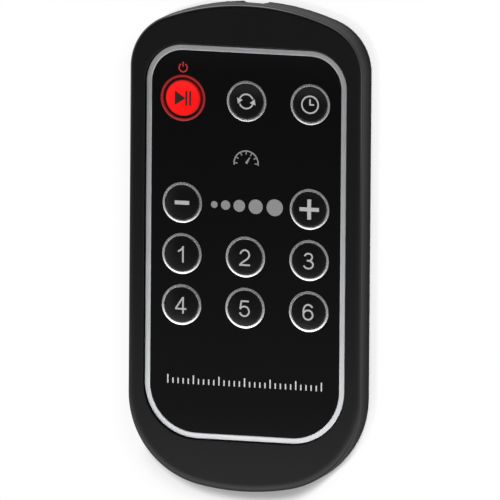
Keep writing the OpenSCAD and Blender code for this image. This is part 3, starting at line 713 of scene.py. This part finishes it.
def cap_profile(node):
    """Profile of a key cap: crown, rounded edge, stem and flange, as (radius, height)."""
    (cx, cy), radius = key_place(node)
    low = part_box(node)[0]
    height = crown_height(node)
    r = np.linspace(0, radius - KEY_EDGE_R, CROWN_STEPS)
    crown = np.column_stack([r, height(cx + r, cy)])
    edge = quarter_round(
        radius - KEY_EDGE_R, crown[-1, 1] - KEY_EDGE_R, KEY_EDGE_R, KEY_EDGE_AT, 0)
    flange_r, flange_z = radius + KEY_FLANGE, low.z + KEY_FLANGE_T
    rest = [(radius, flange_z), (flange_r, flange_z), (flange_r, low.z), (0, low.z)]
    return np.concatenate([crown, edge, rest])


for node in KEY_NODES:
    name = node + "_cap"
    mesh = mesh_from_grids(name, [revolved(cap_profile(node), key_place(node)[0])])
    lit = node == "start_key"
    add_piece(name, mesh, red_cap_painted_glow if lit else gloss_cap, node,
              (node,))


# ---------------------------------------------------------------- printed marks

def panel_height(x, y):
    """The height of the flat panel at x and y."""
    return PANEL_Z + 0 * x


def stroke(path, widths, height, layer=0):
    """A printed stroke: a flat band of varying width along a path on a surface.

    Across the path the top follows the surface at a small rise and the underside lies just
    below it. Each end closes to a point in the middle of the band.
    """
    path = np.array(path, float)
    widths = np.broadcast_to(np.array(widths, float), len(path))
    step = np.gradient(path, axis=0)
    step /= np.linalg.norm(step, axis=1)[:, None]
    side = np.column_stack([-step[:, 1], step[:, 0]])
    across = np.linspace(-0.5, 0.5, INK_ACROSS)
    top = path[:, None] + side[:, None] * (across[None, :, None] * widths[:, None, None])
    section = np.concatenate([top, top[:, ::-1]], 1)
    lift = np.repeat([INK_RISE + layer * INK_STEP, -INK_SINK], INK_ACROSS)
    z = height(section[..., 0], section[..., 1]) + lift
    rows = np.concatenate([section, z[..., None]], -1)
    ends = [np.broadcast_to(rows[i].mean(0), rows[i].shape)[None] for i in (0, -1)]
    return np.concatenate([ends[0], rows, ends[1]]), False, True


def line(start, stop, steps=12):
    """Points on a straight line."""
    share = np.linspace(0, 1, steps)[:, None]
    return np.array(start) * (1 - share) + np.array(stop) * share


def bow(centre, radius, start, stop, steps=40):
    """Points on an arc, from one angle in degrees to another; a pair of radii gives an oval."""
    angle = np.radians(np.linspace(start, stop, steps))
    return np.array(centre) + np.array(radius) * np.column_stack([np.cos(angle), np.sin(angle)])


def printed(name, strokes, material, body):
    """A piece made of printed strokes, each on its own thin layer."""
    return add_piece(name, mesh_from_grids(name, strokes), material, body)


def on_key(node, strokes):
    """Strokes given round the middle of a key, placed on its crown.

    Each stroke is (path, widths); the path is measured from the middle of the key.
    """
    middle = np.array(key_place(node)[0])
    height = crown_height(node)
    return [stroke(middle + path, widths, height, i) for i, (path, widths) in enumerate(strokes)]


def sweep(start, pull_1, pull_2, stop, steps=24):
    """Points on a cubic curve from start to stop, drawn towards two points in turn."""
    t = np.linspace(0, 1, steps)[:, None]
    a, b, c, d = (np.array(p, float) for p in (start, pull_1, pull_2, stop))
    return (1 - t) ** 3 * a + 3 * (1 - t) ** 2 * t * b + 3 * (1 - t) * t ** 2 * c + t ** 3 * d


# Plain numerals as the middle lines of their strokes, in millimetres round their middle
NUMERAL_T = 0.46 * MM
NUMERAL_AT = np.array([-0.1, -0.12]) * MM
NUMERALS = {
    1: [
        line((0.5, -2.28), (0.5, 2.2)),
        sweep((0.62, 2.12), (0.3, 1.5), (-0.2, 1.05), (-0.9, 0.72)),
    ],
    2: [
        np.concatenate([
            bow((0.02, 0.78), (1.24, 1.27), 172, -30),
            sweep((1.08, 0.1), (0.7, -0.55), (-0.85, -1.25), (-1.32, -2.0))[1:],
        ]),
        line((-1.58, -2.05), (1.5, -2.05)),
    ],
    3: [
        np.concatenate([
            bow((-0.02, 1.08), (1.08, 0.97), 165, -90),
            line((-0.1, 0.11), (-0.45, 0.11), 4),
        ]),
        bow((-0.02, -0.97), (1.32, 1.08), 90, -165),
    ],
    4: [
        line((0.55, 2.1), (-1.45, -0.9)),
        line((-1.6, -0.98), (1.55, -0.98)),
        line((0.62, 2.28), (0.62, -2.28)),
    ],
    5: [
        line((-0.9, 2.05), (1.25, 2.05)),
        line((-0.85, 2.15), (-1.2, -0.1)),
        bow((0.0, -0.72), (1.32, 1.33), 155, -165),
    ],
    6: [
        bow((0.0, -0.76), (1.3, 1.29), 90, -270, 60),
        np.concatenate([
            bow((0.06, 0.35), (1.36, 1.7), 32, 180),
            line((-1.3, 0.2), (-1.3, -0.8), 8),
        ]),
    ],
}
for number, paths in NUMERALS.items():
    node = f"key_{number}"
    strokes = [(NUMERAL_AT + path * MM, NUMERAL_T) for path in paths]
    printed(node + "_numeral", on_key(node, strokes), grey_ink, node)

# Minus and plus signs
MINUS_L = 4.1 * MM
PLUS_L = 5.5 * MM
SIGN_T = 1.08 * MM
flat_sign = (line((-MINUS_L / 2, 0), (MINUS_L / 2, 0)), SIGN_T)
printed("minus_sign", on_key("minus_key", [flat_sign]), grey_ink, "minus_key")
plus_strokes = [
    (line((-PLUS_L / 2, 0), (PLUS_L / 2, 0)), SIGN_T),
    (line((0, -PLUS_L / 2), (0, PLUS_L / 2)), SIGN_T),
]
printed("plus_sign", on_key("plus_key", plus_strokes), grey_ink, "plus_key")

# Play and pause sign on the lit key: a triangle and two bars
SIGN_H = 4.0 * MM
PLAY_X = -2.2 * MM
PLAY_W = 3.0 * MM
PLAY_STEPS = 24
BAR_W = 0.52 * MM
BAR_X = [1.05 * MM, 2.15 * MM]
play = line((PLAY_X, 0), (PLAY_X + PLAY_W, 0), PLAY_STEPS)
start_strokes = [(play, np.linspace(SIGN_H, 0, PLAY_STEPS))]
start_strokes += [(line((x, -SIGN_H / 2), (x, SIGN_H / 2)), BAR_W) for x in BAR_X]
printed("start_sign", on_key("start_key", start_strokes), dark_ink, "start_key")

# Two arrows in a circle on the mode key, each an arc and a head
THIN = 0.42 * MM
ARROW_R = 1.95 * MM
ARROW_STARTS = (20, 200)
ARROW_SWEEP = 140
ARROW_L = 1.5 * MM
ARROW_W = 1.7 * MM
mode_strokes = []
for turn in ARROW_STARTS:
    tip = math.radians(turn + ARROW_SWEEP)
    end = ARROW_R * np.array([math.cos(tip), math.sin(tip)])
    ahead = np.array([-math.sin(tip), math.cos(tip)])
    mode_strokes.append((bow((0, 0), ARROW_R, turn, turn + ARROW_SWEEP), THIN))
    mode_strokes.append((line(end, end + ahead * ARROW_L), np.linspace(ARROW_W, 0, 12)))
printed("mode_sign", on_key("mode_key", mode_strokes), grey_ink, "mode_key")

# Clock on the time key
CLOCK_R = 2.3 * MM
HAND_TAIL = 0.2 * MM
LONG_HAND = 1.5 * MM
SHORT_HAND = 1.15 * MM
clock_strokes = [
    (bow((0, 0), CLOCK_R, 0, 360, 72), THIN),
    (line((0, -HAND_TAIL), (0, LONG_HAND)), THIN),
    (line((-HAND_TAIL, 0), (SHORT_HAND, 0)), THIN),
]
printed("time_sign", on_key("time_key", clock_strokes), grey_ink, "time_key")

# Dots of growing size between the minus and plus keys: middles and diameters in millimetres
DOT_X = [-8.92, -5.72, -1.84, 2.8, 8.18]
DOT_D = [1.87, 2.58, 3.28, 3.98, 4.6]
DOT_DOWN = 0.08 * MM
DOT_STEPS = 64
dot_y = key_place("minus_key")[0][1] - DOT_DOWN
dots = [
    pin((x * MM, dot_y), d * MM / 2, PANEL_Z - INK_SINK, PANEL_Z + INK_RISE, DOT_STEPS)
    for x, d in zip(DOT_X, DOT_D)
]
printed("level_dots", dots, level_ink, "handset")

# A dial above the dots: an arc with ticks inside it and a tapering needle
LINE_T = 0.36 * MM
DIAL_UP = 11.7 * MM
DIAL_R = 3.4 * MM
DIAL_ARC = (-8, 188)
DIAL_TICKS = 7
DIAL_TICK_IN = 0.72
DIAL_TICK_T = 0.8
NEEDLE_AT = math.radians(58)
NEEDLE_REACH = 0.62
NEEDLE_T = (0.75 * MM, 0.2 * MM)
dial_at = np.array([0, dot_y + DIAL_UP])
dial_strokes = [stroke(dial_at + bow((0, 0), DIAL_R, *DIAL_ARC, 60), LINE_T, panel_height)]
for turn in np.linspace(0, math.pi, DIAL_TICKS):
    out = DIAL_R * np.array([math.cos(turn), math.sin(turn)])
    dial_strokes.append(stroke(
        dial_at + line(out * DIAL_TICK_IN, out), LINE_T * DIAL_TICK_T, panel_height, 1))
tip = DIAL_R * NEEDLE_REACH * np.array([math.cos(NEEDLE_AT), math.sin(NEEDLE_AT)])
dial_strokes.append(stroke(
    dial_at + line((0, 0), tip), np.linspace(*NEEDLE_T, 12), panel_height, 2))
printed("dial_sign", dial_strokes, level_ink, "handset")

# A power sign above the lit key: an open ring and a bar
POWER_UP = 8.3 * MM
POWER_R = 1.15 * MM
POWER_ARC = (120, 420)
BAR_LOW = 0.25 * MM
BAR_HIGH = 1.6 * MM
power_at = np.array(key_place("start_key")[0]) + np.array([0, POWER_UP])
power_strokes = [
    stroke(bow(power_at, POWER_R, *POWER_ARC), LINE_T, panel_height),
    stroke(line(power_at + (0, BAR_LOW), power_at + (0, BAR_HIGH)), LINE_T, panel_height, 1),
]
printed("power_sign", power_strokes, red_ink_painted_glow, "handset")

# A plain scale near the lower end: every fifth tick is long
SCALE_Y = -38 * MM
SCALE_L = 43.5 * MM
SCALE_TICKS = 31
LONG_EVERY = 5
LONG_TICK = 2.4 * MM
SHORT_TICK = 1.5 * MM
ticks = []
for i, x in enumerate(np.linspace(-SCALE_L / 2, SCALE_L / 2, SCALE_TICKS)):
    tall = SHORT_TICK if i % LONG_EVERY else LONG_TICK
    ticks.append(stroke(line((x, SCALE_Y), (x, SCALE_Y + tall), 3), LINE_T, panel_height, 1))
printed("tick_scale", ticks, pale_ink, "handset")


# ---------------------------------------------------------------- stage

FLOOR_WHITE = "#fdfdfd"
# Distances of the floor's rings from the body's outline
FLOOR_STEPS = np.concatenate([[-20], np.linspace(0, 6, 25), [10, 100, 3000]]) * MM
# The share of painted white glow beside the body and farther out, where the shadow starts and
# stops fading beside the long sides and past the lower end, and where that end begins along Y
# and X. Where the share is high the glow hides the lamps' cast shadow, so this paints the shadow's
# reach
SHARE_NEAR = 0.12
SHARE_FAR = 0.92
FADE_SIDE = np.array([0, 0.9]) * MM
FADE_END = np.array([3.2, 7]) * MM
END_Y = (-45 * MM, -62 * MM)
END_X = (24 * MM, 8 * MM)
# Strength of the world as a light
AMBIENT = 0.25
# Reflection cards: a card above, a strip behind, and a dark mat round the object that is painted
# shade in the walls' reflections
CARD_Z = 0.234
CARD_HALF = 0.9
CARD_FAR = 0.4
STRIP_Y = 1.0
STRIP_X = (-0.8, 0.5)
STRIP_TOP = 0.5
MAT_MARGIN = 5 * MM
MAT_Z = 0.3 * MM
# Their strengths, as sums of products of steps with places in metres (see glow_material). The
# card has a dim sky, a darker patch over the panel's left, a bright end past the lower end and
# a lift on the right; the strip brightens to the left, and the mat, a painted shade, brightens
# past the emitter end
CARD_TERMS = [
    [("Y", 0.05, 0.13, 0.38, 0.05)],
    [
        ("X", -0.15, -0.10, 0, -1), ("X", -0.02, 0.05, 1, 0), ("Y", -0.14, -0.08, 0, 1),
        ("Y", 0.012, 0.045, 1, 0), ("Y", 0.02, -0.13, 0.33, 0.2),
    ],
    [("Y", -0.085, -0.2, 0, 4.2), ("Y", -0.25, -0.42, 1, 0.2)],
    [("X", 0.14, 0.4, 0, 0.5)],
]
STRIP_TERMS = [[("X", 0.05, -0.25, 1.3, 2.6)]]
SHADE_MAT_TERMS = [[("X", 0, 1, 0.1, 0.1)], [("Y", 0.055, 0.066, 0, 0.3)]]
# Soft lamps: place, size and power
KEY_LAMP = ((0.42, 0.36, 0.95), 0.3, 10.0)
FILL_LAMP = ((0.0, -0.8, 0.9), 0.7, 2.1)


def seen_directly(tree, share):
    """A factor: the share for camera, glossy and transmission rays, and 0 for others."""
    rays = add_node(tree, "ShaderNodeLightPath")
    total = rays.outputs["Is Camera Ray"]
    for name in ("Is Glossy Ray", "Is Transmission Ray"):
        either = add_node(tree, "ShaderNodeMath", {"operation": "MAXIMUM"}, {
            0: total, 1: rays.outputs[name]})
        total = either.outputs[0]
    factor = add_node(tree, "ShaderNodeMath", {"operation": "MULTIPLY"}, {0: total, 1: share})
    return factor.outputs[0]


def floor_mesh():
    """Flat rings round the body's outline, each point with its share of plain backdrop, a white
    glow.

    The share rises smoothly from near to far with the distance from the outline. It rises
    sooner beside the long sides than past the lower end. Where it is high the glow hides the
    cast shadow, so the shadow's reach is painted.
    """
    outline = body_outline()
    grid = np.stack([ring_along(outline, -away, 0) for away in FLOOR_STEPS], 1)
    rows, columns = grid.shape[:2]
    middle = (np.arange(rows) * columns).tolist()
    faces = grid_faces(rows, columns, True, False, 0).tolist() + [middle]
    mesh = bpy.data.meshes.new("floor")
    mesh.from_pydata(grid.reshape(-1, 3).tolist(), [], faces)
    # Painted light: the mask of white glow that hides the shadow beyond a short reach from the
    # outline
    end = (smooth_share(grid[..., 1], *END_Y) * smooth_share(grid[..., 0], *END_X))[..., None]
    fade = FADE_SIDE + (FADE_END - FADE_SIDE) * end
    away = smooth_share(FLOOR_STEPS, fade[..., 0], fade[..., 1])
    share = SHARE_NEAR + (SHARE_FAR - SHARE_NEAR) * away
    kept = mesh.attributes.new("painted_white_share", "FLOAT", "POINT")
    kept.data.foreach_set("value", share.ravel())
    return mesh


def make_floor():
    """A pale floor that looks white and keeps the object's shadow near the body; farther out a
    painted white glow hides it.
    """
    # Uncoated white paper: matt, with a fine grain
    material, tree = new_material("pale_paper_floor")
    place = add_node(tree, "ShaderNodeTexCoord")
    grain = add_node(tree, "ShaderNodeTexNoise", (), {
        "Vector": place.outputs["Object"], "Scale": per_mm(2)})
    rough = add_node(tree, "ShaderNodeMapRange", (), {
        "Value": grain.outputs[0], "To Min": 0.85, "To Max": 0.95})
    paper = add_node(tree, "ShaderNodeBsdfPrincipled", (), {
        "Base Color": linear(FLOOR_WHITE), "Roughness": rough.outputs[0],
        "Specular IOR Level": 0.0})
    glow = add_node(tree, "ShaderNodeEmission", (), {"Color": (1, 1, 1, 1), "Strength": 1.0})
    share = add_node(tree, "ShaderNodeAttribute", {"attribute_name": "painted_white_share"})
    both = add_node(tree, "ShaderNodeMixShader", (), {
        0: seen_directly(tree, share.outputs["Fac"]), 1: paper.outputs[0], 2: glow.outputs[0]})
    add_node(tree, "ShaderNodeOutputMaterial", (), {"Surface": both.outputs[0]})
    mesh = floor_mesh()
    mesh.materials.append(material)
    floor = bpy.data.objects.new("floor", mesh)
    scene.collection.objects.link(floor)


def make_world():
    """White where it is seen directly or in gloss, a soft grey as a light."""
    world = bpy.data.worlds.new("studio")
    scene.world = world
    world.use_nodes = True
    tree = world.node_tree
    tree.nodes.clear()
    lamp = add_node(tree, "ShaderNodeBackground", (), {"Color": (1, 1, 1, 1), "Strength": AMBIENT})
    seen = add_node(tree, "ShaderNodeBackground", (), {"Color": (1, 1, 1, 1), "Strength": 1.0})
    both = add_node(tree, "ShaderNodeMixShader", (), {
        0: seen_directly(tree, 1.0), 1: lamp.outputs[0], 2: seen.outputs[0]})
    add_node(tree, "ShaderNodeOutputWorld", (), {"Surface": both.outputs[0]})


def aimed(location):
    """A matrix at a location whose -Z axis points at the origin."""
    back = Vector(location).normalized()
    return Matrix.Translation(location) @ back.to_track_quat("Z", "Y").to_matrix().to_4x4()


def soft_light(name, location, size, power):
    """A square soft lamp aimed at the origin, which gloss doesn't mirror."""
    lamp = bpy.data.lights.new(name, "AREA")
    lamp.shape = "SQUARE"
    lamp.size = size
    lamp.energy = power
    holder = bpy.data.objects.new(name, lamp)
    scene.collection.objects.link(holder)
    holder.matrix_world = aimed(location)
    holder.visible_glossy = False


def show_in_gloss_only(name, mesh, material):
    """Puts a reflection card in the scene: it shows in gloss and lights or shades nothing."""
    mesh.materials.append(material)
    card = bpy.data.objects.new(name, mesh)
    scene.collection.objects.link(card)
    card.visible_camera = False
    card.visible_diffuse = False
    card.visible_shadow = False
    card.visible_transmission = False


def flat_mesh(name, corners):
    """One flat face between corners."""
    mesh = bpy.data.meshes.new(name)
    mesh.from_pydata([tuple(c) for c in corners], [], [tuple(range(len(corners)))])
    return mesh


def glow_material(name, terms):
    """An emission whose strength is a sum of terms, each a product of smooth steps.

    A step is (axis, start, stop, value at the start, value at the stop).
    """
    material, tree = new_material(name)
    place = add_node(tree, "ShaderNodeTexCoord")
    axes = add_node(tree, "ShaderNodeSeparateXYZ", (), {"Vector": place.outputs["Object"]})
    total = 0.0
    for steps in terms:
        term = 1.0
        for axis, start, stop, low, high in steps:
            step = add_node(tree, "ShaderNodeMapRange", {"interpolation_type": "SMOOTHSTEP"}, {
                "Value": axes.outputs[axis], "From Min": start, "From Max": stop,
                "To Min": low, "To Max": high})
            term = add_node(tree, "ShaderNodeMath", {"operation": "MULTIPLY"}, {
                0: step.outputs[0], 1: term}).outputs[0]
        total = add_node(tree, "ShaderNodeMath", {"operation": "ADD"}, {
            0: term, 1: total}).outputs[0]
    glow = add_node(tree, "ShaderNodeEmission", (), {"Color": (1, 1, 1, 1), "Strength": total})
    add_node(tree, "ShaderNodeOutputMaterial", (), {"Surface": glow.outputs[0]})
    return material


def make_cards():
    """What the gloss mirrors: a graded card above, a bright strip behind and a dark mat of painted
    shade below.

    The card is dim over the object and brighter past the lower end and on the right. The mat
    is painted shade over the floor beside the walls, which the walls mirror; it is brighter past
    the emitter end.
    """
    h, far, z = CARD_HALF, CARD_FAR, CARD_Z
    above = flat_mesh("card_above", [(-h, -h, z), (-h, far, z), (h, far, z), (h, -h, z)])
    show_in_gloss_only("card_above", above, glow_material("graded_card", CARD_TERMS))
    (left, right), y, top = STRIP_X, STRIP_Y, STRIP_TOP
    corners = [(left, y, 0), (right, y, 0), (right, y, top), (left, y, top)]
    behind = flat_mesh("strip_behind", corners)
    show_in_gloss_only("strip_behind", behind, glow_material("bright_strip", STRIP_TERMS))
    below = flat_mesh("painted_shade_below", ring_along(body_outline(), -MAT_MARGIN, MAT_Z))
    show_in_gloss_only("painted_shade_below", below, glow_material("painted_shade_mat", SHADE_MAT_TERMS))


make_floor()
make_world()
make_cards()
soft_light("key_light", *KEY_LAMP)
soft_light("fill_light", *FILL_LAMP)


# ---------------------------------------------------------------- camera

PAN = math.radians(17)
TILT = math.radians(9)
ROLL = math.radians(0.42)
DISTANCE = 4.4
PIXELS = 500
PIXELS_PER_METRE = 3697
# The point aimed at, and how far the picture's middle lies to the right of it
AIM = Vector((0, -0.42 * MM, 14 * MM))
AIM_SHIFT = 1.22 * MM
SENSOR = 36.0


def make_camera():
    """The photograph's view: seen from above, a little from the right and the emitter end."""
    level = math.cos(TILT)
    back = Vector((math.sin(PAN) * level, math.sin(TILT), math.cos(PAN) * level))
    right = Vector((math.cos(PAN), 0, -math.sin(PAN)))
    up = back.cross(right)
    turned_right = right * math.cos(ROLL) + up * math.sin(ROLL)
    turned_up = up * math.cos(ROLL) - right * math.sin(ROLL)
    data = bpy.data.cameras.new("camera")
    data.sensor_width = SENSOR
    data.lens = PIXELS_PER_METRE * DISTANCE * SENSOR / PIXELS
    data.clip_end = 3 * DISTANCE
    camera = bpy.data.objects.new("camera", data)
    scene.collection.objects.link(camera)
    turn = Matrix((turned_right, turned_up, back)).transposed().to_4x4()
    place = AIM + turned_right * AIM_SHIFT + back * DISTANCE
    camera.matrix_world = Matrix.Translation(place) @ turn
    scene.camera = camera


make_camera()
